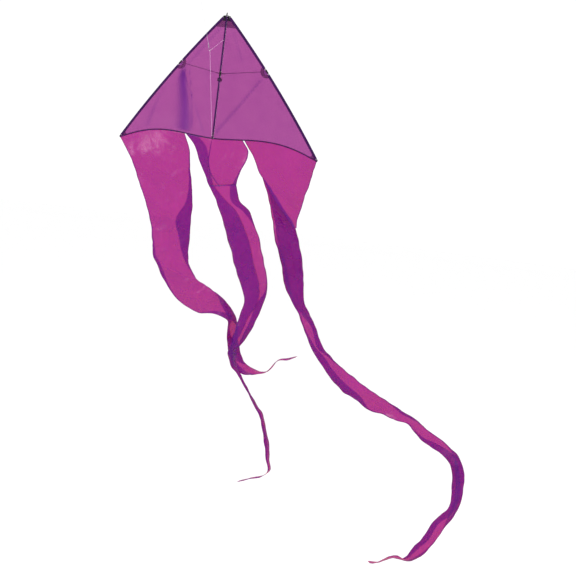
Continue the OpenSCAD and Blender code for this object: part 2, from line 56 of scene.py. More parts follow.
towards = Vector((math.sin(AROUND) * math.cos(ABOVE), -math.cos(AROUND) * math.cos(ABOVE), math.sin(ABOVE)))
camera_x = Vector((0, 0, 1)).cross(towards).normalized()
camera_y = towards.cross(camera_x)
tipped = Matrix.Rotation(TIPPED, 3, towards)
camera_axes = Matrix((tipped @ camera_x, tipped @ camera_y, towards)).transposed()
camera = bpy.data.objects.new("camera", bpy.data.cameras.new("camera"))
camera.data.lens, camera.data.sensor_width = 108, 36
camera.data.clip_end = 100
camera.matrix_world = Matrix.Translation(LOOK_AT + DISTANCE * towards) @ camera_axes.to_4x4()
bpy.context.collection.objects.link(camera)
bpy.context.scene.camera = camera


# ---- Flying line ----
# Braided polyester line, knotted to the swivel's eye and pulled taut by the flyer. A metre-scale
# kite like this flies on cord about a millimetre thick; the length here ends in its own loop.

LINE_RISE = math.radians(50)
LINE_FROM, LINE_LENGTH, LINE_DIAMETER = 0.056, 0.4, 0.0012


def along_line(distance):
    """The point at a distance from the tow point, out along the line."""
    return Vector((0, -math.cos(LINE_RISE) * distance, math.sin(LINE_RISE) * distance))


def colour(code):
    """An sRGB hex colour as the linear value that a shader takes."""
    parts = [int(code[i : i + 2], 16) / 255 for i in (0, 2, 4)]
    return [c / 12.92 if c <= 0.04045 else ((c + 0.055) / 1.055) ** 2.4 for c in parts] + [1]


def add(material, kind, settings=(), **inputs):
    """Adds a shader node. A setting is an attribute. An input is named, or numbered as _0, _1 and
    so on, and is a value or another node's output."""
    node = material.node_tree.nodes.new("ShaderNode" + kind)
    for name, value in dict(settings).items():
        setattr(node, name, value)
    for name, value in inputs.items():
        socket = node.inputs[int(name[1:]) if name[1:].isdigit() else name.replace("_", " ")]
        if isinstance(value, bpy.types.NodeSocket):
            material.node_tree.links.new(value, socket)
        else:
            socket.default_value = value
    return node


def new_material(name):
    """An empty material and its output node."""
    material = bpy.data.materials.new(name)
    material.use_nodes = True
    material.node_tree.nodes.clear()
    return material, add(material, "OutputMaterial")


def finish_with(material, output, shader):
    """Joins the shader to the material's output."""
    material.node_tree.links.new(shader.outputs[0], output.inputs["Surface"])
    return material


def ramp(material, amount, *stops):
    """A colour ramp between two (place, hex colour) stops."""
    node = add(material, "ValToRGB", Fac=amount)
    for element, (place, code) in zip(node.color_ramp.elements, stops):
        element.position, element.color = place, colour(code)
    return node.outputs["Color"]


def braided_cord(name, light, dark, diameter):
    """Braided polyester: strands that cross on a slant, so it reads as a fine diamond twill."""
    material, output = new_material(name)
    place = add(material, "TexCoord").outputs["Object"]
    strands = []
    for side in (1, -1):
        slant = add(material, "Mapping", Vector=place, Scale=(1, 1, side)).outputs["Vector"]
        strands.append(add(
            material, "TexWave", {"bands_direction": "DIAGONAL"}, Vector=slant, Scale=0.32 / diameter
        ).outputs["Fac"])
    crossing = add(material, "Math", {"operation": "MULTIPLY"}, _0=strands[0], _1=strands[1])
    bump = add(material, "Bump", Height=crossing.outputs["Value"], Distance=diameter * 0.1, Strength=0.8)
    shader = add(
        material, "BsdfPrincipled", Roughness=0.6, Normal=bump.outputs["Normal"], IOR=1.5, Sheen_Weight=0.2,
        Base_Color=ramp(material, crossing.outputs["Value"], (0, dark), (0.6, light)),
    )
    return finish_with(material, output, shader)


LINE_BRAID = braided_cord("white braided polyester line", "DADADE", "A2A2AA", LINE_DIAMETER)


def bar(name, points, radius, material, body):
    """A round cord or wire along points, as a curve with thickness."""
    curve = bpy.data.curves.new(name, "CURVE")
    curve.dimensions = "3D"
    curve.bevel_depth, curve.bevel_resolution, curve.use_fill_caps = radius, 4, True
    spline = curve.splines.new("POLY")
    spline.points.add(len(points) - 1)
    for point, where in zip(spline.points, points):
        point.co = (*where, 1)
    piece = bpy.data.objects.new(name, curve)
    bpy.context.collection.objects.link(piece)
    curve.materials.append(material)
    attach(piece, body)
    return piece


flying_line = bar(
    "flying_line_braid", [along_line(LINE_FROM + LINE_LENGTH * i / 20) for i in range(21)],
    LINE_DIAMETER / 2, LINE_BRAID, "line_swivel",
)
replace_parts(flying_line, "flying_line")


def dress(material, *nodes):
    """Gives CAD nodes their material."""
    for node in nodes:
        cad[node].data.materials.clear()
        cad[node].data.materials.append(material)


dress(LINE_BRAID, "line_knot", "line_end_loop")


# ---- Rods, end caps and moulded fittings ----
# Pultruded glass-fibre rods, dyed dark; soft moulded caps, clips and centre fitting; and an
# anodised tube that joins each leading edge. They keep their CAD shape.


def glass_fibre():
    """Pultruded rod: lengthwise fibres under a thin resin skin give faint streaks and a satin shine."""
    material, output = new_material("dyed pultruded glass fibre")
    place = add(material, "TexCoord").outputs["Object"]
    drawn_out = add(material, "Mapping", Vector=place, Scale=(900, 900, 14)).outputs["Vector"]
    streaks = add(material, "TexNoise", Vector=drawn_out, Scale=1.0, Detail=4.0)
    bump = add(material, "Bump", Height=streaks.outputs["Fac"], Distance=0.0001, Strength=0.4)
    return finish_with(material, output, add(
        material, "BsdfPrincipled", Roughness=0.32, Normal=bump.outputs["Normal"], IOR=1.5,
        Base_Color=ramp(material, streaks.outputs["Fac"], (0.35, "1E0626"), (0.7, "3A1446")),
    ))


def moulded(name, deep, pale, rough):
    """Soft injection-moulded plastic: fine spark-eroded grain, a little lighter where it is handled."""
    material, output = new_material(name)
    place = add(material, "TexCoord").outputs["Object"]
    grain = add(material, "TexNoise", Vector=place, Scale=2500.0, Detail=3.0)
    wear = add(material, "TexNoise", Vector=place, Scale=120.0, Detail=5.0)
    bump = add(material, "Bump", Height=grain.outputs["Fac"], Distance=0.00015, Strength=0.5)
    return finish_with(material, output, add(
        material, "BsdfPrincipled", Roughness=rough, Normal=bump.outputs["Normal"], IOR=1.5, Specular_IOR_Level=0.25,
        Base_Color=ramp(material, wear.outputs["Fac"], (0.3, deep), (0.75, pale)),
    ))


def drawn_metal(name, dark, light, rough):
    """Drawn metal: fine lengthwise lines from the die, and a soft broken reflection."""
    material, output = new_material(name)
    place = add(material, "TexCoord").outputs["Object"]
    drawn_out = add(material, "Mapping", Vector=place, Scale=(1500, 1500, 60)).outputs["Vector"]
    lines = add(material, "TexNoise", Vector=drawn_out, Scale=1.0, Detail=4.0)
    bump = add(material, "Bump", Height=lines.outputs["Fac"], Distance=0.00005, Strength=0.5)
    return finish_with(material, output, add(
        material, "BsdfPrincipled", Metallic=1.0, Roughness=rough, Normal=bump.outputs["Normal"],
        Base_Color=ramp(material, lines.outputs["Fac"], (0.3, dark), (0.7, light)),
    ))


ROD = glass_fibre()
MOULDED = moulded("soft moulded nylon", "08040C", "160C1C", 0.6)
FERRULE = drawn_metal("black anodised aluminium tube", "18161C", "34303A", 0.38)
STEEL = drawn_metal("bright drawn steel wire", "6E6E76", "B4B4BC", 0.28)

dress(ROD, "spine_rod", "left_spreader_rod", "right_spreader_rod")
dress(MOULDED, "spine_nose_cap", "spine_tail_cap", "centre_fitting", "left_spreader_cap", "right_spreader_cap")
for side in ("left", "right"):
    dress(ROD, side + "_upper_edge_rod", side + "_lower_edge_rod")
    dress(MOULDED, side + "_edge_caps", side + "_wing_clip")
    dress(FERRULE, side + "_edge_ferrule")
dress(STEEL, "snap_hook", "snap_gate", "swivel_barrel", "swivel_eye")


# ---- Sail panels ----
# One light ripstop panel on each wing, cut straight along the spine and hollow along its trailing
# edge. The wind fills it slightly between the spine, the spreader and the leading edge.

DIHEDRAL = math.radians(8)
TOW_OUT, TOW_Z = 0.233, 0.555
SPINE_LENGTH, TIP_OUT, TIP_DROP = 0.820, 0.716, 0.070
EDGE_BOW, EDGE_HOLLOW = 0.023, 0.056
WINGS = {"left": -1, "right": 1}
RIP_THREAD = 0.0009
CLOTH_THICKNESS = 0.0004
COLOUR_MIX = {"data_type": "RGBA", "blend_type": "MIX"}


def kite_point(x, depth, z):
    """A point measured from the foot of the spine, in metres, as a point of the model."""
    return Vector((x, depth + TOW_OUT, z - TOW_Z))


def wing_point(side, out, behind, z):
    """A point of a wing: out along it, behind its plane, and up from the spine's foot."""
    across = out * math.cos(DIHEDRAL) - behind * math.sin(DIHEDRAL)
    depth = out * math.sin(DIHEDRAL) + behind * math.cos(DIHEDRAL)
    return kite_point(WINGS[side] * across, depth, z)


def in_wing(side, point):
    """The inverse of wing_point: out, behind and z."""
    x, y, z = WINGS[side] * point.x, point.y - TOW_OUT, point.z + TOW_Z
    out = x * math.cos(DIHEDRAL) + y * math.sin(DIHEDRAL)
    behind = y * math.cos(DIHEDRAL) - x * math.sin(DIHEDRAL)
    return out, behind, z


def hem(t, drop=0.0):
    """The trailing edge from the spine's foot (t = 0) to the wing tip (t = 1), or a line that drops
    below it: out and z."""
    hollow = EDGE_HOLLOW * math.sin(math.pi * max(t, 0) ** 1.3)
    return TIP_OUT * t, -TIP_DROP * t + hollow - drop


def ease(low, high, value):
    """0 below low, 1 above high, and a smooth step between them."""
    t = min(max((value - low) / (high - low), 0), 1)
    return t * t * (3 - 2 * t)


def ripstop(name, face, thread, see, tint, cell, deep=None):
    """Coated ripstop nylon: a plain weave with a heavier thread in a square grid. Light comes
    through it, so it glows against a bright sky and darkens where two layers lie together.
    The real grid is about 5 mm; it is drawn about twice that, so that it shows."""
    material, output = new_material(name)
    place = add(material, "UVMap", {"uv_map": "cloth"}).outputs["UV"]
    split = add(material, "SeparateXYZ", Vector=place)
    lines = []
    for axis in ("X", "Y"):
        turn = add(material, "Math", {"operation": "PINGPONG"}, _0=split.outputs[axis], _1=cell / 2)
        lines.append(add(
            material, "MapRange", Value=turn.outputs["Value"],
            From_Min=0.0, From_Max=RIP_THREAD, To_Min=1.0, To_Max=0.0,
        ).outputs["Result"])
    grid = add(material, "Math", {"operation": "MAXIMUM"}, _0=lines[0], _1=lines[1]).outputs["Value"]
    cloudy = add(material, "TexNoise", Vector=place, Scale=9.0, Detail=6.0, Roughness=0.65).outputs["Fac"]
    crinkle = add(material, "TexNoise", Vector=place, Scale=140.0, Detail=5.0, Roughness=0.6).outputs["Fac"]
    height = add(material, "Math", {"operation": "MULTIPLY_ADD"}, _0=grid, _1=0.35, _2=crinkle).outputs["Value"]
    bump = add(material, "Bump", Height=height, Distance=0.0008, Strength=0.35)
    faces = ramp(material, cloudy, (0.3, face[0]), (0.7, face[1]))
    shade = add(material, "Mix", COLOUR_MIX, _0=grid, _6=faces, _7=colour(thread)).outputs[2]
    see_through = add(
        material, "Math", {"operation": "MULTIPLY_ADD"}, _0=grid, _1=-0.35 * see, _2=see
    ).outputs["Value"]
    if deep:
        # Painted shade: where the panel's crease_shade attribute marks a crease, the colour is mixed towards the
        # deeper colour and less light shows through, as light crossing the fold at a slant would look
        crease_shade = add(material, "Attribute", {"attribute_name": "crease_shade"}).outputs["Fac"]
        shade = add(material, "Mix", COLOUR_MIX, _0=crease_shade, _6=shade, _7=colour(deep)).outputs[2]
        see_through = add(
            material, "Math", {"operation": "MULTIPLY_ADD"}, _0=crease_shade, _1=-0.45 * see, _2=see_through
        ).outputs["Value"]
    cloth = add(
        material, "BsdfPrincipled", Base_Color=shade, Roughness=0.42, Normal=bump.outputs["Normal"], IOR=1.5,
        Sheen_Weight=0.05, Specular_IOR_Level=0.2,
    )
    glow = add(material, "BsdfTranslucent", Color=shade, Normal=bump.outputs["Normal"])
    woven = add(material, "MixShader", _0=0.4, _1=cloth.outputs[0], _2=glow.outputs[0])
    through = add(material, "BsdfTransparent", Color=colour(tint))
    return finish_with(material, output, add(
        material, "MixShader", _0=see_through, _1=woven.outputs[0], _2=through.outputs[0]
    ))


# The sail's deep colour is painted shade, mixed in along its creases by the crease_shade attribute
SAIL_CLOTH = ripstop("orchid coated ripstop", ("8C4488", "9E5A92"), "6A2C72", 0.62, "E6A2D8", 0.010, deep="6A1890")


def below_leading_edge(out, z):
    """About how far a point of a panel lies from the straight line between nose and tip."""
    edge_z = SPINE_LENGTH - out * (SPINE_LENGTH + TIP_DROP) / TIP_OUT
    return (edge_z - z) * 0.6


def billow(out, z):
    """How far the wind pushes a wing's cloth back from its frame. It dies away at the spine, the
    leading edge, the trailing edge and the spreader, and the trailing edge keeps a slight flutter."""
    side_fade = ease(0.0, 0.16, out) * ease(0.0, 0.16, below_leading_edge(out, z))
    hem_fade = ease(0.0, 0.09, z - hem(out / TIP_OUT)[1])
    low = math.exp(-(((z - 0.19) / 0.16) ** 2)) * 0.013
    high = math.exp(-(((z - 0.58) / 0.08) ** 2)) * 0.004
    creases = 0.0022 * noise.noise(Vector((out * 9 + z * 4, z * 6 - out * 5, 2.5))) * ease(0.02, 0.12, out)
    return side_fade * (hem_fade * (low + high) + creases)


# Creases in each panel: from and to (out, height), the crease's half width and its depth
CREASES = {
    "left": [
        ((0.290, 0.470), (0.200, -0.030), 0.062, 0.023), ((0.300, 0.440), (0.060, 0.020), 0.016, 0.004),
        ((0.020, 0.730), (0.262, 0.445), 0.013, 0.006), ((0.420, 0.300), (0.500, 0.030), 0.020, 0.005),
        ((0.230, 0.440), (0.170, 0.060), 0.014, 0.005),
    ],
    "right": [
        ((0.300, 0.440), (0.020, 0.030), 0.014, 0.007), ((0.560, 0.150), (0.700, -0.040), 0.016, 0.005),
        ((0.050, 0.720), (0.150, 0.520), 0.016, 0.003),
    ],
}


def slack_crease(side, out, z):
    """The creases the spreader's pull leaves in a panel: how far back the cloth sags in them."""
    sag = 0.0
    for (x0, z0), (x1, z1), half_width, depth in CREASES[side]:
        run = Vector((x1 - x0, z1 - z0))
        share = Vector((out - x0, z - z0)).dot(run) / run.length_squared
        aside = (out - x0) * run.y / run.length - (z - z0) * run.x / run.length
        wide = half_width * (0.35 + 0.65 * min(max(share, 0), 1))
        sag += depth * math.exp(-(aside / wide) ** 2) * ease(-0.05, 0.12, share) * (1 - ease(0.9, 1.1, share))
    hem_fade = ease(0.0, 0.03, z - hem(out / TIP_OUT)[1])
    return sag * hem_fade * ease(0.01, 0.05, below_leading_edge(out, z)) * ease(0.008, 0.03, out)


def add_cloth_uv(bm, side=None):
    """Lays the weave out flat, across and up a wing, or across and up the kite, in metres."""
    uv = bm.loops.layers.uv.new("cloth")
    for face in bm.faces:
        for loop in face.loops:
            across, _, up = in_wing(side, loop.vert.co) if side else loop.vert.co
            loop[uv].uv = (across, up)


def make_piece(name, bm, body, slot, *materials):
    """Turns a finished bmesh into a piece that rides on a body."""
    bmesh.ops.recalc_face_normals(bm, faces=bm.faces)
    mesh = bpy.data.meshes.new(name)
    bm.to_mesh(mesh)
    bm.free()
    for material in materials:
        mesh.materials.append(material)
    mesh.polygons.foreach_set("use_smooth", [True] * len(mesh.polygons))
    piece = bpy.data.objects.new(name, mesh)
    bpy.context.collection.objects.link(piece)
    if body:
        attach(piece, body)
    return piece


def thicken(piece, thickness):
    """Gives cloth its thickness, half to each side."""
    solid = piece.modifiers.new("thickness", "SOLIDIFY")
    solid.thickness, solid.offset, solid.use_even_offset = thickness, 0.0, False
    return piece


def cut(bm, where, normal, clear_inner=False):
    """Cuts all of a mesh on a plane."""
    everything = bm.verts[:] + bm.edges[:] + bm.faces[:]
    bmesh.ops.bisect_plane(bm, geom=everything, plane_co=where, plane_no=normal, dist=1e-6, clear_inner=clear_inner)


def flat_cloth(side, node, spacing, lift=0.0):
    """The front of a flat CAD cloth, cut into small squares, filled by the wind and moved back by
    lift."""
    bm = bmesh.new()
    bm.from_mesh(cad[node].data)
    bmesh.ops.remove_doubles(bm, verts=bm.verts, dist=1e-6)
    front = min(round(in_wing(side, v.co)[1], 5) for v in bm.verts)
    not_front = [f for f in bm.faces if max(in_wing(side, v.co)[1] for v in f.verts) > front + 1e-5]
    bmesh.ops.delete(bm, geom=not_front, context="FACES")
    bmesh.ops.dissolve_limit(bm, angle_limit=0.01, verts=bm.verts, edges=bm.edges)
    for low, high, across in ((0.0, 0.73, True), (-0.09, 0.83, False)):
        for i in range(int((high - low) / spacing)):
            at = low + i * spacing
            if across:
                cut(bm, kite_point(WINGS[side] * at, 0, 0), (1, 0, 0))
            else:
                cut(bm, kite_point(0, 0, at), (0, 0, 1))
    bmesh.ops.triangulate(bm, faces=[f for f in bm.faces if len(f.verts) > 4])
    add_cloth_uv(bm, side)
    # Painted shade: each point records how deep and steep its crease is, and the sail's material darkens it there
    crease_shade = bm.verts.layers.float.new("crease_shade")
    for v in bm.verts:
        out, _, z = in_wing(side, v.co)
        sag = slack_crease(side, out, z)
        slope = (slack_crease(side, out + 0.002, z) - sag) / 0.002 * WINGS[side]
        v[crease_shade] = min(max(sag * 30 + slope * 0.7, 0), 1)
        v.co = wing_point(side, out, billow(out, z) + sag + lift, z)
    return bm


for side in WINGS:
    bm = flat_cloth(side, side + "_sail_panel", 0.012)
    sail = thicken(make_piece(side + "_sail", bm, side + "_wing", "sail_ripstop", SAIL_CLOTH), CLOTH_THICKNESS)
    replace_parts(sail, side + "_sail_panel")


# ---- Reinforcing patches ----
# The sail's ripstop doubled behind the nose, round the opening for each wing clip and at the tips,
# and black tape folded over the nose where the spine and both leading edges meet.

NOSE, TIP = Vector((0, SPINE_LENGTH)), Vector((TIP_OUT, -TIP_DROP))
CHORD = (TIP - NOSE).length
EDGE_RADIUS = CHORD**2 / (8 * EDGE_BOW) + EDGE_BOW / 2
OUTWARDS = Vector((NOSE.y - TIP.y, TIP.x - NOSE.x)) / CHORD
EDGE_CENTRE = (NOSE + TIP) / 2 - OUTWARDS * (EDGE_RADIUS - EDGE_BOW)
CLIP_Z = 0.472
CLIP_ANGLE = math.asin((CLIP_Z - EDGE_CENTRE.y) / EDGE_RADIUS)
CLIP_AT = EDGE_CENTRE + EDGE_RADIUS * Vector((math.cos(CLIP_ANGLE), math.sin(CLIP_ANGLE)))

PATCH_CLOTH = ripstop("orchid ripstop, doubled", ("8A3E90", "9A4E9E"), "6A2E70", 0.3, "D898D4", 0.010)
NOSE_TAPE = ripstop("black nose tape", ("120216", "22062A"), "0C0010", 0.0, "FFFFFF", 0.004)
for side in WINGS:
    for node in ("nose_patch", "clip_patch", "tip_patch"):
        bm = flat_cloth(side, f"{side}_{node}", 0.012, 0.0006)
        patch = make_piece(f"{side}_{node}_cloth", bm, side + "_wing", "dark_ripstop", PATCH_CLOTH)
        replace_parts(thicken(patch, CLOTH_THICKNESS), f"{side}_{node}")

# A disc of the same cloth closes the opening in front of each wing clip, up to the rod
SHIELD_RADIUS, ROD_CLEAR = 0.0255, 0.0044
for side in WINGS:
    bm = bmesh.new()
    bmesh.ops.create_circle(bm, cap_ends=True, segments=48, radius=SHIELD_RADIUS)
    bmesh.ops.poke(bm, faces=bm.faces[:])
    bmesh.ops.subdivide_edges(bm, edges=bm.edges[:], cuts=2, use_grid_fill=True)
    for v in bm.verts:
        at = CLIP_AT + v.co.xy
        away = at - EDGE_CENTRE
        if away.length > EDGE_RADIUS - ROD_CLEAR:
            at = EDGE_CENTRE + away.normalized() * (EDGE_RADIUS - ROD_CLEAR)
        v.co = wing_point(side, at.x, 0.0003 + 0.0004 * noise.noise(v.co * 120), at.y)
    add_cloth_uv(bm, side)
    thicken(make_piece(side + "_clip_shield", bm, side + "_wing", "dark_ripstop", PATCH_CLOTH), CLOTH_THICKNESS)

# The nose's tape goes round both faces of the patch
HOOD_FROM, HOOD_THICKNESS = 0.768, 0.0024
for side in WINGS:
    bm = flat_cloth(side, side + "_nose_patch", 0.010, 0.0004)
    cut(bm, kite_point(0, 0, HOOD_FROM), (0, 0, 1), clear_inner=True)
    thicken(make_piece(side + "_nose_hood", bm, side + "_wing", "webbing", NOSE_TAPE), HOOD_THICKNESS)


# ---- Leading-edge sleeves ----
# A strip of dark cloth folded round each leading-edge rod, with its two edges laid flat together
# and sewn to the sail. It stops short at the wing clip, where the rod has to be reached.

# Half of the sleeve's cross-section: out from the rod, and behind it, in millimetres
SLEEVE_PROFILE = [(-13, 0.9), (-11, 1.2), (-7.5, 1.8), (-4.6, 3.0), (-2.4, 3.9), (0.6, 4.2), (3.0, 3.0), (4.2, 0.0)]


def edge_point(side, angle, out, behind):
    """A point beside the leading edge: out from its rod, and behind the wing, in metres."""
    at = EDGE_CENTRE + (EDGE_RADIUS + out) * Vector((math.cos(angle), math.sin(angle)))
    return wing_point(side, at.x, behind, at.y)


def closed_ring(bm, points):
    """A ring of vertices and edges through points, the start of a tube."""
    ring = [bm.verts.new(point) for point in points]
    return ring, [bm.edges.new((ring[i], ring[(i + 1) % len(ring)])) for i in range(len(ring))]


def edge_sleeve(side, start, stop):
    """The folded cross-section spun about the centre of the leading edge's bow."""
    bm = bmesh.new()
    profile = SLEEVE_PROFILE + [(x, -y) for x, y in reversed(SLEEVE_PROFILE[:-1])]
    ring, edges = closed_ring(bm, [edge_point(side, start, x / 1000, y / 1000) for x, y in profile])
    centre = wing_point(side, EDGE_CENTRE.x, 0, EDGE_CENTRE.y)
    axis = wing_point(side, EDGE_CENTRE.x, 1, EDGE_CENTRE.y) - centre
    steps = max(int(abs(stop - start) * EDGE_RADIUS / 0.012), 4)
    sweep = (stop - start) * -WINGS[side]
    bmesh.ops.spin(bm, geom=ring + edges, cent=centre, axis=axis, angle=sweep, steps=steps)
    for v in bm.verts:
        out, behind, z = in_wing(side, v.co)
        depth = EDGE_RADIUS - (Vector((out, z)) - EDGE_CENTRE).length
        pucker = 0.0005 * noise.noise(Vector((out * 60, behind * 400, z * 60))) * ease(0.002, 0.012, depth + 0.004)
        with_sail = billow(out, z) * ease(0.004, 0.018, depth)
        v.co = wing_point(side, out, behind + pucker + with_sail, z)
    add_cloth_uv(bm, side)
    return bm


def edge_angle(point):
    """Where a point of the leading edge lies on the bow's circle."""
    return math.atan2(point.y - EDGE_CENTRE.y, point.x - EDGE_CENTRE.x)


def edge_lengths(nose_gap, clip_gap, tip_gap):
    """The leading edge above and below the wing clip, less a gap in metres at each end."""
    nose, tip = edge_angle(NOSE) - nose_gap / EDGE_RADIUS, edge_angle(TIP) + tip_gap / EDGE_RADIUS
    return (nose, CLIP_ANGLE + clip_gap / EDGE_RADIUS), (CLIP_ANGLE - clip_gap / EDGE_RADIUS, tip)


SLEEVE_CLOTH = ripstop("plum ripstop sleeve", ("380450", "540C6C"), "240234", 0.10, "B070AC", 0.010)
for side in WINGS:
    for where, (start, stop) in zip(("upper", "lower"), edge_lengths(0.040, 0.024, 0.026)):
        bm = edge_sleeve(side, start, stop)
        sleeve = make_piece(f"{side}_{where}_sleeve_cloth", bm, side + "_wing", "dark_ripstop", SLEEVE_CLOTH)
        if where == "upper":
            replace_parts(sleeve, side + "_edge_sleeve")


# ---- Trailing-edge binding ----
# A narrow dark tape folded over the raw edge of each panel and sewn through, from the spine to the
# wing tip. The tails are caught under it.

# The tape's cross-section: up from the cut edge, and behind it, in millimetres
BINDING = [
    (-4.0, 0.0), (-3.4, 0.75), (0.0, 0.9), (3.4, 0.8), (4.2, 0.35),
    (4.2, -0.35), (3.4, -0.8), (0.0, -0.9), (-3.4, -0.75),
]
BINDING_CLOTH = ripstop("plum edge tape", ("3A044E", "520C66"), "240232", 0.0, "FFFFFF", 0.010)
BINDING_STEPS = 90
BINDING_START, BINDING_RUN = 0.0062, TIP_OUT - 0.0122


def grow(bm, edges):
    """Extrudes a tube's open end: the new ring's vertices and edges."""
    grown = bmesh.ops.extrude_edge_only(bm, edges=edges)["geom"]
    ring = [v for v in grown if isinstance(v, bmesh.types.BMVert)]
    return ring, [e for e in grown if isinstance(e, bmesh.types.BMEdge) and all(v in ring for v in e.verts)]


def hem_binding(side):
    """The folded tape drawn along the trailing edge, closed at both ends."""
    bm = bmesh.new()
    ring, edges = closed_ring(bm, [(0, 0, 0)] * len(BINDING))
    for i in range(BINDING_STEPS + 1):
        if i:
            ring, edges = grow(bm, edges)
        t = (BINDING_START + BINDING_RUN * i / BINDING_STEPS) / TIP_OUT
        (x0, z0), (x1, z1) = hem(t - 0.004), hem(t + 0.004)
        run = Vector((x1 - x0, z1 - z0)).normalized()
        at = Vector(hem(t))
        ripple = 0.0004 * noise.noise(Vector((t * 45, 1.7, 0)))
        for v, (up, back) in zip(ring, BINDING):
            v.co = wing_point(side, at.x - run.y * up / 1000, back / 1000 + ripple, at.y + run.x * up / 1000)
    bmesh.ops.holes_fill(bm, edges=[e for e in bm.edges if e.is_boundary], sides=len(BINDING))
    add_cloth_uv(bm, side)
    return bm


for side in WINGS:
    binding = make_piece(side + "_hem_binding", hem_binding(side), side + "_wing", "dark_ripstop", BINDING_CLOTH)
    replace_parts(binding, side + "_edge_binding")


# ---- Stitching ----
# Bonded nylon thread: straight lockstitch along the sleeves and the binding. Each stitch is a short
# rounded bead that sinks into the cloth at both ends, and is drawn longer than a real one.


def sewing_thread():
    """Bonded nylon thread: two twisted plies under a hard clear bond, so it is darker than the
    cloth and shines."""
    material, output = new_material("bonded nylon thread")
    place = add(material, "TexCoord").outputs["Object"]
    twist = add(material, "TexNoise", Vector=place, Scale=1800.0, Detail=2.0)
    return finish_with(material, output, add(
        material, "BsdfPrincipled", Roughness=0.4, IOR=1.5,
        Base_Color=ramp(material, twist.outputs["Fac"], (0.3, "2E0636"), (0.7, "5A1E62")),
    ))


STITCH_THREAD = sewing_thread()


STITCH_PITCH, STITCH_RADIUS = 0.005, 0.00045


def stitches(name, routes, body):
    """Rows of stitches; each route is its points and a step from the middle of the cloth to its
    face, and the stitches show on both faces."""
    bm = bmesh.new()
    shape = Matrix.Diagonal((0.8, 1, STITCH_PITCH * 0.4 / STITCH_RADIUS, 1))
    for points, to_face in routes:
        walked = 0.0
        x_axis = to_face.normalized()
        for a, b in zip(points, points[1:]):
            run = b - a
            z_axis = run.normalized()
            axes = Matrix((x_axis, z_axis.cross(x_axis), z_axis)).transposed().to_4x4()
            while walked + STITCH_PITCH <= run.length:
                walked += STITCH_PITCH
                middle = a + z_axis * (walked - STITCH_PITCH / 2)
                for over in (1, -1):
                    bead = bmesh.ops.create_icosphere(bm, subdivisions=1, radius=STITCH_RADIUS)["verts"]
                    where = Matrix.Translation(middle + over * x_axis * to_face.length)
                    bmesh.ops.transform(bm, verts=bead, matrix=where @ axes @ shape)
            walked = max(walked - run.length, -STITCH_PITCH)
    return make_piece(name, bm, body, "dark_ripstop", STITCH_THREAD)


SEAM_IN, SLEEVE_FACE, BINDING_FACE = 0.0100, 0.0013, 0.00095
for side in WINGS:
    back = wing_point(side, 0.3, 1, 0.3) - wing_point(side, 0.3, 0, 0.3)
    routes = []
    for start, stop in edge_lengths(0.042, 0.026, 0.030):
        row = []
        for i in range(61):
            angle = start + (stop - start) * i / 60
            at = EDGE_CENTRE + (EDGE_RADIUS - SEAM_IN) * Vector((math.cos(angle), math.sin(angle)))
            row.append(wing_point(side, at.x, billow(at.x, at.y) * 0.9, at.y))
        routes.append((row, back * SLEEVE_FACE))
    row = [wing_point(side, hem(t / 80)[0], 0, hem(t / 80, -0.002)[1]) for t in range(1, 80)]
    routes.append((row, back * BINDING_FACE))
    stitches(side + "_wing_stitching", routes, side + "_wing")


# ---- Spine sleeve, tail pocket, tabs and keeper strap ----
# The spine runs in a sleeve of the dark cloth sewn down the middle of the kite, and its foot sits in
# a folded webbing pocket. Two small webbing tabs hold the bridle, and a strap keeps the spreader in.
# The sleeve is cut away round the strap and round the centre fitting.


def webbing():
    """Narrow nylon webbing: ribbed along its length by thick warp yarns, with a dull sheen."""
    material, output = new_material("black nylon webbing")
    place = add(material, "TexCoord").outputs["Object"]
    ribs = add(material, "TexWave", {"bands_direction": "Z"}, Vector=place, Scale=160.0, Distortion=0.6).outputs["Fac"]
    fuzz = add(material, "TexNoise", Vector=place, Scale=900.0, Detail=4.0).outputs["Fac"]
    height = add(material, "Math", {"operation": "MULTIPLY_ADD"}, _0=ribs, _1=0.6, _2=fuzz).outputs["Value"]
    bump = add(material, "Bump", Height=height, Distance=0.0005, Strength=0.6)
    return finish_with(material, output, add(
        material, "BsdfPrincipled", Roughness=0.65, Normal=bump.outputs["Normal"], IOR=1.5,
        Sheen_Weight=0.05, Specular_IOR_Level=0.2,
        Base_Color=ramp(material, height, (0.4, "180A1E"), (1.0, "3E1C46")),
    ))


WEBBING = webbing()
dress(WEBBING, "upper_bridle_tab", "lower_bridle_tab", "keeper_strap", "spine_tail_pocket")

# Half of the sleeve's cross-section, from one flat edge round the rod to the other, in millimetres
SPINE_PROFILE = [
    (-5.4, -0.4), (-4.2, -0.9), (-3.0, -2.2), (-1.4, -3.4), (0, -3.65),
    (1.4, -3.4), (3.0, -2.2), (4.2, -0.9), (5.4, -0.4),
]
SPINE_SLEEVES = {"lower": (0.0405, 0.3778), "middle": (0.3902, 0.4076), "upper": (0.4384, 0.797)}
profile = SPINE_PROFILE + [(-x, -y) for x, y in SPINE_PROFILE]
for where, (low, high) in SPINE_SLEEVES.items():
    bm = bmesh.new()
    ring, edges = closed_ring(bm, [kite_point(x / 1000, y / 1000, low) for x, y in profile])
    steps = max(int((high - low) / 0.008), 2)
    for i in range(1, steps + 1):
        ring, edges = grow(bm, edges)
        z = low + (high - low) * i / steps
        for v, (x, y) in zip(ring, profile):
            pucker = 0.0003 * noise.noise(Vector((x * 2, y * 2, z * 130)))
            v.co = kite_point(x / 1000, y / 1000 * (1 + pucker * 300), z)
    add_cloth_uv(bm)
    sleeve = thicken(make_piece(f"spine_sleeve_{where}", bm, "spine", "dark_ripstop", SLEEVE_CLOTH), 0.0003)
    if where == "upper":
        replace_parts(sleeve, "spine_sleeve")

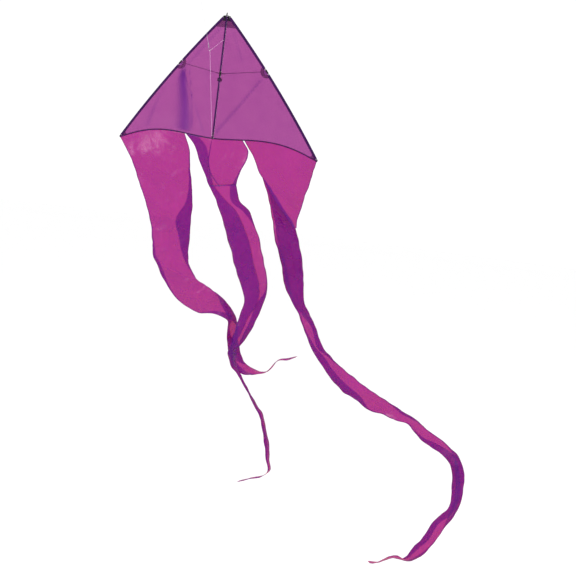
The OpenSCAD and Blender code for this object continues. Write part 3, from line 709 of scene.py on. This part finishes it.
# A square of webbing closes the opening behind the strap
bm = bmesh.new()
bmesh.ops.create_cube(bm, size=1)
bmesh.ops.bevel(bm, geom=bm.edges[:], offset=0.02, segments=2, affect="EDGES")
for v in bm.verts:
    v.co = kite_point(v.co.x * 0.032, 0.0052 + v.co.y * 0.0012, 0.384 + v.co.z * 0.022)
make_piece("strap_backing", bm, "spine", "webbing", WEBBING)


# ---- Tails ----
# Three long tails of glossy light nylon, cut in one with a wide head that is sewn under the
# trailing edge. Wind and weight throw them into folds, twists and soft crumples.


def tail_nylon(name):
    """Calendered nylon taffeta: pressed smooth, so it shines in long streaks. The dye is a violet on
    the surface and lets pink light through, so one layer is pink and two or three turn violet."""
    material, output = new_material(name)
    place = add(material, "UVMap", {"uv_map": "cloth"}).outputs["UV"]
    cloudy = add(material, "TexNoise", Vector=place, Scale=5.0, Detail=5.0, Roughness=0.6).outputs["Fac"]
    crumple = add(
        material, "TexNoise", Vector=place, Scale=24.0, Detail=5.0, Roughness=0.55, Distortion=1.2
    ).outputs["Fac"]
    weave = add(material, "TexNoise", Vector=place, Scale=900.0, Detail=2.0).outputs["Fac"]
    height = add(material, "Math", {"operation": "MULTIPLY_ADD"}, _0=weave, _1=0.05, _2=crumple).outputs["Value"]
    bump = add(material, "Bump", Height=height, Distance=0.006, Strength=0.5)
    shade = ramp(material, cloudy, (0.3, "6C14B4"), (0.7, "841CBE"))
    cloth = add(
        material, "BsdfPrincipled", Base_Color=shade, Roughness=0.24, Normal=bump.outputs["Normal"], IOR=1.5,
        Sheen_Weight=0.1,
    )
    glow = add(material, "BsdfTranslucent", Color=shade, Normal=bump.outputs["Normal"])
    woven = add(material, "MixShader", _0=0.35, _1=cloth.outputs[0], _2=glow.outputs[0])
    through = add(material, "BsdfTransparent", Color=colour("F8928C"))
    return finish_with(material, output, add(
        material, "MixShader", _0=0.56, _1=woven.outputs[0], _2=through.outputs[0]
    ))


TAIL_CLOTH = tail_nylon("magenta nylon taffeta")


def along(values, lengths, t):
    """A smooth curve through values (numbers or points), at a share t of its length."""
    at = t * lengths[-1]
    past = next((k for k, length in enumerate(lengths) if length >= at), len(lengths) - 1)
    i = min(max(past - 1, 0), len(values) - 2)
    span = max(lengths[i + 1] - lengths[i], 1e-9)
    s = min(max((at - lengths[i]) / span, 0), 1)

    def slope(low, high):
        return (values[high] - values[low]) * (span / (lengths[high] - lengths[low]))

    before = slope(i - 1, i + 1) if i else values[1] - values[0]
    after = slope(i, i + 2) if i + 2 < len(values) else values[i + 1] - values[i]
    return ((2 * s**3 - 3 * s**2 + 1) * values[i] + (s**3 - 2 * s**2 + s) * before
            + (-2 * s**3 + 3 * s**2) * values[i + 1] + (s**3 - s**2) * after)


class Row:
    """One row across a tail: where it lies, and in millimetres how much of each hem is turned
    over, behind if positive, in front if negative."""

    def __init__(self, place, left, right):
        self.place = place
        self.width = sum((place(k / 8, 0) - place((k + 1) / 8, 0)).length for k in range(8)) * 1000
        self.turned = (left, right)


def strip(x, depth, z, width, lean, turn, cup, left, right):
    """A row of a streamer, in millimetres from the spine's foot: its middle, its width, how it leans
    to one side and turns edge-on, in degrees, and how far its middle cups forward."""
    lean, turn = math.radians(lean), math.radians(turn)
    half = Vector((math.cos(turn) * math.cos(lean), math.sin(turn), math.cos(turn) * math.sin(lean))) * width / 2
    front = Vector((math.sin(turn) * math.cos(lean), -math.cos(turn), math.sin(turn) * math.sin(lean)))
    middle = Vector((x, depth, z))

    def place(u, lift):
        s = 2 * u - 1
        return kite_point(*((middle + half * s + front * (cup * (1 - s * s) + lift)) / 1000))
    return Row(place, left, right)


def drawn(points, left, right):
    """A row through points in millimetres, from the left hem to the right one."""
    points = [Vector(point) for point in points]

    def place(u, lift):
        at = along(points, list(range(len(points))), u)
        return kite_point(at.x / 1000, (at.y - lift) / 1000, at.z / 1000)
    return Row(place, left, right)


def seam(side, inner, outer, left, right):
    """The row sewn under the binding, between two shares of the wing's span."""
    def place(u, lift):
        t = inner + (outer - inner) * (u if side == "right" else 1 - u)
        out, z = hem(t, 0.0025)
        return wing_point(side, out, -lift / 1000 * 0.3, z)
    return Row(place, left, right)


# How far apart two layers of a turned hem lie, in millimetres
LAYER = 2.6


def panels(row):
    """A row's turned left hem, its flat middle and its turned right hem, each from and to (place
    across, lift) in millimetres."""
    left, right = row.turned
    half = row.width / 2
    return [
        ((-half + abs(left), -math.copysign(LAYER, left)), (-half, 0)),
        ((-half, 0), (half, 0)),
        ((half, 0), (half - abs(right), -math.copysign(LAYER, right))),
    ]


def tail_cloth(rows, spacing, crumple, seed, loose=(1, 1)):
    """A sheet of cloth laid through rows and crumpled; loose says how far each hem ruffles. Its
    weave follows it, in metres."""
    lengths = [0.0]
    for a, b in zip(rows, rows[1:]):
        lengths.append(lengths[-1] + sum((a.place(u, 0) - b.place(u, 0)).length for u in (0, 0.5, 1)) / 3)
    all_panels = [panels(row) for row in rows]
    widest = [max(abs(p[k][0][0] - p[k][1][0]) for p in all_panels) for k in range(3)]
    counts = [max(int(width / 1000 / spacing), 3) for width in widest]
    spots = [(k, i / counts[k]) for k in range(3) for i in range(counts[k])] + [(2, 1.0)]
    last = len(spots) - 1
    steps = max(int(lengths[-1] / spacing), 6)
    bm = bmesh.new()
    uv = bm.loops.layers.uv.new("cloth")
    bmesh.ops.create_grid(bm, x_segments=last, y_segments=steps, size=1)
    grid = {}
    for v in bm.verts:
        grid[(round((v.co.x + 1) / 2 * last), round((1 - v.co.y) / 2 * steps))] = v

    # The grid is laid through the rows
    across_at = {}
    for i, (panel, share) in enumerate(spots):
        points, offsets = [], []
        for row, parts in zip(rows, all_panels):
            (s0, lift0), (s1, lift1) = parts[panel]
            s = s0 + (s1 - s0) * share
            bulge = 0 if panel == 1 else math.sin(math.pi * share) * (1 if lift0 + lift1 > 0 else -1)
            points.append(row.place(s / row.width + 0.5, lift0 + (lift1 - lift0) * share + bulge))
            offsets.append(s / 1000)
        for j in range(steps + 1):
            grid[(i, j)].co = along(points, lengths, j / steps)
            across_at[(i, j)] = along(offsets, lengths, j / steps)

    # Crumples move it forwards and back, and its hems ruffle sideways
    left_hem, right_hem = counts[0], last - counts[2]
    weave, moves = {}, {}
    for j in range(steps + 1):
        down = j / steps * lengths[-1]
        across = grid[(right_hem, j)].co - grid[(left_hem, j)].co
        run = grid[(right_hem, min(j + 1, steps))].co - grid[(right_hem, max(j - 1, 0))].co
        front = run.cross(across).normalized()
        width, aside = across.length, across.normalized()
        walked = 0.0
        for i in range(last + 1):
            if i:
                walked += (grid[(i, j)].co - grid[(i - 1, j)].co).length
            weave[grid[(i, j)]] = (walked, -down)
            s = across_at[(i, j)]
            near_hem = ease(0.5, 1.0, abs(2 * s / max(width, 0.01))) * ease(0.02, 0.1, down)
            ruffle = 0.005 * noise.noise(Vector((down * 17, seed, 5))) * near_hem
            ruffle *= loose[1] if s > 0 else -loose[0]
            moves[(i, j)] = front * crumple(s, down, width, seed) + aside * ruffle
    for key, move in moves.items():
        grid[key].co += move
    for face in bm.faces:
        for loop in face.loops:
            loop[uv].uv = weave[loop.vert]
    return bm


def ridge(x, y, seed):
    """Creases: sharp-topped folds, from 1 on a crease to 0 in the flats."""
    return max(1 - 3.2 * abs(noise.noise(Vector((x, y, seed)))), 0)


def wide_folds(s, down, width, seed):
    """Flutes that hang from the seam and drift sideways, slanting creases, and a fine crumple."""
    wide = ease(0.05, 0.22, width)
    drift = 1.6 * noise.noise(Vector((down * 2.2, seed, 0)))
    flutes = 0.009 * noise.noise(Vector((s * 11 + drift, down * 1.7, seed)))
    slants = 0.007 * ridge(s * 5 + down * 6.5, down * 3.0 - s * 4, seed + 3) * ease(0.1, 0.5, down)
    cross_folds = 0.007 * ridge(s * 4 - down * 5, down * 7 + s * 6, seed + 7) * ease(0.2, 0.9, down)
    fine = 0.0024 * noise.noise(Vector((s * 34, down * 24, seed + 11)))
    folds = (flutes + slants + cross_folds) * (0.25 + 0.75 * wide)
    return ease(0.0, 0.12, down) * (folds + fine * (0.4 + 0.6 * wide))


def streamer_folds(s, down, width, seed):
    """Long creases that run with the streamer and cross it here and there."""
    runs = 0.005 * ridge(s * 14, down * 2.3, seed) + 0.004 * ridge(s * 9 + down * 5, down * 8 - s * 9, seed + 5)
    waves = 0.006 * noise.noise(Vector((s * 7, down * 4.5, seed + 2)))
    fine = 0.0012 * noise.noise(Vector((s * 50, down * 34, seed + 11)))
    return ease(0.0, 0.06, down) * (runs + waves + fine)


# Shares of the wing's span: the middle tail ends at the first, and a side tail runs between the others
CENTRE_END, SIDE_START, SIDE_END = 0.2835, 0.2975, 0.985


def sew_tail(name, bm, body, node, flat, area):
    """Makes a tail's sheet in place of its CAD solid. The size it was cut to, in metres (flat and area), is not used.
    """
    piece = thicken(make_piece(name, bm, body, "tail_nylon", TAIL_CLOTH), 0.0003)
    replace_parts(piece, node)
    return piece


def hang_from_wing(piece):
    """Bakes a side tail's placement into its mesh; its head is drawn at the binding, and the piece rides on no body.
    """
    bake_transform(piece)


# Each row: x, depth, z, width, lean, turn, cup, turned left hem, turned right hem
LEFT_RUN = [
    [-380, 34, -134, 446, 7, 0, 10, 5, 7], [-334, 27, -255, 394, 5, 0, 14, 5, 14],
    [-268, 23, -434, 344, 5, 0, 16, 5, 40], [-234, 20, -564, 294, 10, 0, 16, 8, 104],
    [-214, 20, -711, 264, 6, 0, 14, 12, 66], [-203, 22, -805, 255, 5, 0, 14, 24, 34],
    [-163, 27, -889, 226, 11, 0, 16, 30, 12], [-99, 34, -974, 220, 19, 0, 18, 12, 5],
    [-16, 42, -1037, 220, 36, 0, 20, 5, 5], [79, 50, -1079, 192, 50, 0, 16, 5, 8],
    [171, 56, -1102, 113, 53, 20, 10, 24, 40], [254, 58, -1154, 82, 51, 55, 8, 50, 60],
    [275, 58, -1216, 82, 18, 50, 6, 14, 12], [283, 58, -1292, 82, 33, 35, 6, 40, 50],
    [304, 58, -1365, 82, 31, 42, 8, 60, 60], [336, 58, -1427, 82, 46, 42, 8, 30, 50],
    [387, 58, -1477, 76, 82, 34, 8, 30, 8], [450, 56, -1488, 64, 97, 56, 8, 12, 5],
    [499, 55, -1488, 54, 97, 78, 8, 5, 5], [553, 54, -1470, 48, 97, 84, 6, 5, 5],
    [621, 54, -1385, 46, 117, 84, 4, 5, 14], [685, 54, -1367, 44, 97, 72, 4, 10, 20],
    [741, 54, -1344, 34, 97, 82, 2, 10, 10],
]
left_rows = [seam("left", SIDE_START, SIDE_END, 3, 4)] + [strip(*row) for row in LEFT_RUN]
bm = tail_cloth(left_rows, 0.008, wide_folds, 1.3)
hang_from_wing(sew_tail("left_tail_cloth", bm, None, "left_tail", (0.52, 2.3), 0.56))

# The right tail is folded back below the wing tip: its front layer narrows to the fold's corner
RIGHT_FRONT = [
    [(285, 58, -100), (420, 60, -112), (560, 66, -128), (684, 96, -150)],
    [(330, 54, -180), (450, 62, -198), (572, 74, -216), (666, 98, -235)],
    [(381, 52, -244), (480, 64, -262), (574, 78, -284), (649, 100, -301)],
    [(459, 60, -350), (520, 70, -358), (582, 84, -370), (633, 103, -384)],
    [(535, 80, -441), (564, 86, -446), (592, 94, -458), (614, 104, -470)],
    [(596, 92, -512), (602, 96, -513), (610, 100, -514), (618, 104, -515)],
]
front_rows = [seam("right", SIDE_START, SIDE_END, 4, 4)]
front_rows += [drawn(row, 5, 6) for row in RIGHT_FRONT[:-1]] + [drawn(RIGHT_FRONT[-1], 2, 2)]
bm = tail_cloth(front_rows, 0.008, wide_folds, 4.1)
hang_from_wing(sew_tail("right_tail_head", bm, None, "right_tail_front", (0.52, 0.54), 0.15))

# The layer behind comes out from under the front layer's hem and runs on as the streamer
RIGHT_BACK = [
    [(337, 116, -218), (344, 116, -222), (352, 114, -226), (360, 112, -230)],
    [(387, 120, -330), (404, 118, -326), (422, 116, -322), (442, 113, -318)],
    [(414, 124, -400), (442, 122, -398), (472, 118, -396), (504, 113, -394)],
    [(444, 126, -500), (494, 122, -498), (546, 116, -496), (598, 108, -494)],
]
RIGHT_RUN = [
    [552, 106, -576, 158, 8, 0, -8, 5, 146], [607, 104, -724, 150, 8, 0, -10, 24, 138],
    [654, 104, -905, 127, 1, 0, -10, 30, 116], [684, 104, -980, 106, -10, 0, -8, 24, 94],
    [738, 104, -1060, 82, -3, 20, 6, 14, 64], [787, 104, -1143, 87, 13, 0, 8, 12, 30],
    [857, 106, -1268, 82, 9, 0, 8, 36, 40], [905, 108, -1320, 82, 25, 25, 6, 46, 20],
    [982, 110, -1392, 100, 52, 0, 8, 50, 6], [1095, 112, -1471, 120, 63, 0, 10, 54, 6],
    [1193, 112, -1519, 111, 55, 0, 10, 40, 6], [1284, 112, -1565, 118, 55, 0, -8, 8, 6],
    [1374, 112, -1589, 91, 60, 0, -8, 6, 10], [1463, 112, -1622, 82, 51, 35, 4, 6, 20],
    [1536, 112, -1643, 82, 51, 60, 6, 10, 20], [1589, 112, -1680, 82, 43, 50, 6, 10, 8],
    [1648, 112, -1717, 80, 46, 0, 8, 24, 6], [1720, 112, -1752, 80, 46, 10, 8, 40, 6],
    [1786, 112, -1790, 80, 35, 38, 6, 54, 10], [1843, 112, -1831, 80, 33, 36, -6, 60, 30],
    [1886, 112, -1911, 80, 3, 20, -8, 50, 60], [1898, 112, -2011, 86, 28, 0, -8, 60, 60],
    [1895, 112, -2115, 80, 21, 20, 6, 60, 60], [1858, 112, -2196, 80, -16, 32, 6, 50, 40],
    [1808, 112, -2271, 81, -37, 0, 8, 36, 6], [1754, 112, -2378, 80, -20, 15, 6, 40, 6],
    [1704, 112, -2452, 80, -36, 20, 6, 30, 14], [1634, 112, -2529, 80, -22, 52, 6, 20, 40],
    [1572, 112, -2523, 70, -82, 60, 4, 10, 20], [1520, 112, -2532, 62, -82, 66, 3, 10, 10],
    [1445, 112, -2583, 56, -82, 66, 2, 5, 5], [1380, 112, -2597, 48, -82, 56, 0, 4, 8],
]
back_rows = [drawn(row, 5, turned) for row, turned in zip(RIGHT_BACK, (12, 46, 80, 138))]
bm = tail_cloth(back_rows + [strip(*row) for row in RIGHT_RUN], 0.008, streamer_folds, 8.2)
sew_tail("right_tail_run", bm, "right_streamer", "right_tail", (0.30, 3.6), 0.54)

# The middle tail's head hangs from both wings, in two halves that meet on a crease under the spine:
# points down the crease and down each outer hem, and how much of each hem is turned over
CREASE = [(-4, -8, -60), (-2, -16, -160), (34, -22, -240), (96, -22, -304)]
YOKE_EDGE = {
    "left": [(-127, 18, -60), (-73, 6, -162), (-16, -4, -250), (22, -12, -316)],
    "right": [(254, 20, -60), (246, 6, -127), (218, -4, -210), (205, -12, -286)],
}
YOKE_HEM = {"left": [90, 76, 44, 30], "right": [8, 8, 14, 30]}
OVERLAP = {"left": Vector((3, 1.5, 0)), "right": Vector((-3, 0, 0))}
YOKE_FLAT = {"left": ((0.31, 0.34), 0.055), "right": ((0.22, 0.34), 0.05)}


def yoke_rows(side):
    """The rows of one half, from the binding down to the seam with the streamer."""
    left = side == "left"
    rows = [seam(side, 0.0004, CENTRE_END, *((96, 2) if left else (2, 5)))]
    for edge, crease, turned in zip(YOKE_EDGE[side], CREASE, YOKE_HEM[side]):
        fold = Vector(crease) + OVERLAP[side]
        middle = [(a + b) / 2 + c for a, b, c in zip(edge, fold, (0, 6, 0))]
        if left:
            rows.append(drawn([edge, middle, fold], turned, 2))
        else:
            rows.append(drawn([fold, middle, edge], 2, turned))
    return rows


def yoke_folds(s, down, width, seed):
    """The same folds as the tails', dying away at the crease."""
    return wide_folds(s, down, width, seed) * 0.7 * ease(0.0, 0.03, width / 2 - abs(s))


for side, sign in WINGS.items():
    loose = (1, 0) if side == "left" else (0, 1)
    bm = tail_cloth(yoke_rows(side), 0.007, yoke_folds, 2.0 + sign, loose)
    yoke = sew_tail(f"centre_tail_{side}_gore", bm, None, f"centre_tail_{side}_yoke", *YOKE_FLAT[side])
    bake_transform(yoke)

CENTRE_RUN = [
    [165, -16, -391, 170, 4, 0, 14, -78, 60], [222, -18, -456, 202, 8, 0, 18, -122, 40],
    [266, -20, -542, 212, 8, 0, 20, -144, 8], [319, -23, -650, 210, 13, 0, 22, -148, 6],
    [369, -27, -781, 200, 16, 0, 22, -144, 6], [430, -32, -936, 173, 12, 0, 20, -130, 10],
    [433, -38, -1034, 131, -3, 0, 16, -96, 46], [408, -44, -1133, 125, 0, 0, 14, -70, 40],
    [378, -49, -1237, 90, -5, 20, 10, -44, 34], [350, -52, -1311, 74, -24, 52, 6, -24, 24],
    [324, -52, -1362, 66, 16, 60, 6, -40, 30], [332, -52, -1404, 60, 16, 70, 6, -30, 30],
    [355, -50, -1458, 56, 29, 78, 6, -26, 26], [388, -46, -1495, 54, 21, 84, 6, -24, 24],
    [427, -42, -1552, 52, 33, 90, 6, -24, 24], [487, -36, -1635, 52, 30, 90, 4, -24, 24],
    [539, -32, -1704, 54, 34, 82, 4, -20, 24], [570, -28, -1741, 56, 48, 80, 6, -20, 24],
    [606, -24, -1842, 58, 18, 82, 6, -24, 24], [637, -20, -1949, 58, 10, 74, 6, -24, 24],
    [652, -18, -2033, 54, 10, 84, 4, -14, 20], [669, -16, -2099, 50, 39, 84, 4, -10, 10],
    [627, -16, -2143, 46, 97, 82, 3, -8, 8], [547, -16, -2172, 42, 97, 83, 2, -6, 6],
    [467, -16, -2206, 36, 97, 83, 0, -4, 4],
]
waist = drawn([(18, -12, -307), (56, -20, -301), (95, -22, -295), (150, -20, -286), (206, -12, -277)], -40, 34)
bm = tail_cloth([waist] + [strip(*row) for row in CENTRE_RUN], 0.008, wide_folds, 6.6)
centre_run = sew_tail("centre_tail_run", bm, None, "centre_tail", (0.36, 2.4), 0.48)
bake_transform(centre_run)


# ---- Bridle ----
# Soft braided cord, in pale pink: one leg from the upper tab, one from the foot of the spine,
# knotted together into the loop that the snap holds.

BRIDLE_CORD = braided_cord("pale pink braided cord", "F2CCE8", "C488B8", 0.0018)
dress(BRIDLE_CORD, "upper_bridle_leg", "lower_bridle_leg", "bridle_knots", "tow_loop")


# ---- Studio ----
# A white room: an even white sky, a big soft light from the upper left and a weaker one from the
# right, and a pale floor under the lowest tail.

scene = bpy.context.scene
scene.view_settings.view_transform = "Standard"
world = bpy.data.worlds.new("white room")
scene.world = world
world.use_nodes = True
world.node_tree.nodes["Background"].inputs["Color"].default_value = (1, 1, 1, 1)
world.node_tree.nodes["Background"].inputs["Strength"].default_value = 1.06


def soft_light(name, where, aim, size, power):
    """A round soft box that points at aim."""
    light = bpy.data.objects.new(name, bpy.data.lights.new(name, "AREA"))
    light.data.shape, light.data.size, light.data.energy = "DISK", size, power
    turned = (Vector(aim) - Vector(where)).to_track_quat("-Z", "Y").to_matrix().to_4x4()
    light.matrix_world = Matrix.Translation(where) @ turned
    bpy.context.collection.objects.link(light)


soft_light("key light", (-4.0, -5.0, 3.0), (0.2, 0.2, -1.0), 2.5, 260)
soft_light("fill light", (5.0, -4.0, 0.5), (0.6, 0.2, -1.4), 3.0, 60)

floor_paint, floor_output = new_material("matt white floor paint")
finish_with(floor_paint, floor_output, add(floor_paint, "BsdfPrincipled", Base_Color=colour("F8F8F8"), Roughness=0.9))
floor_mesh = bpy.data.meshes.new("floor")
bm = bmesh.new()
bmesh.ops.create_circle(bm, cap_ends=True, segments=96, radius=40)
bmesh.ops.translate(bm, verts=bm.verts, vec=(0.6, 0.2, -3.30))  # Just under the longest tail
bm.to_mesh(floor_mesh)
bm.free()
floor = bpy.data.objects.new("floor", floor_mesh)
floor_mesh.materials.append(floor_paint)
bpy.context.collection.objects.link(floor)
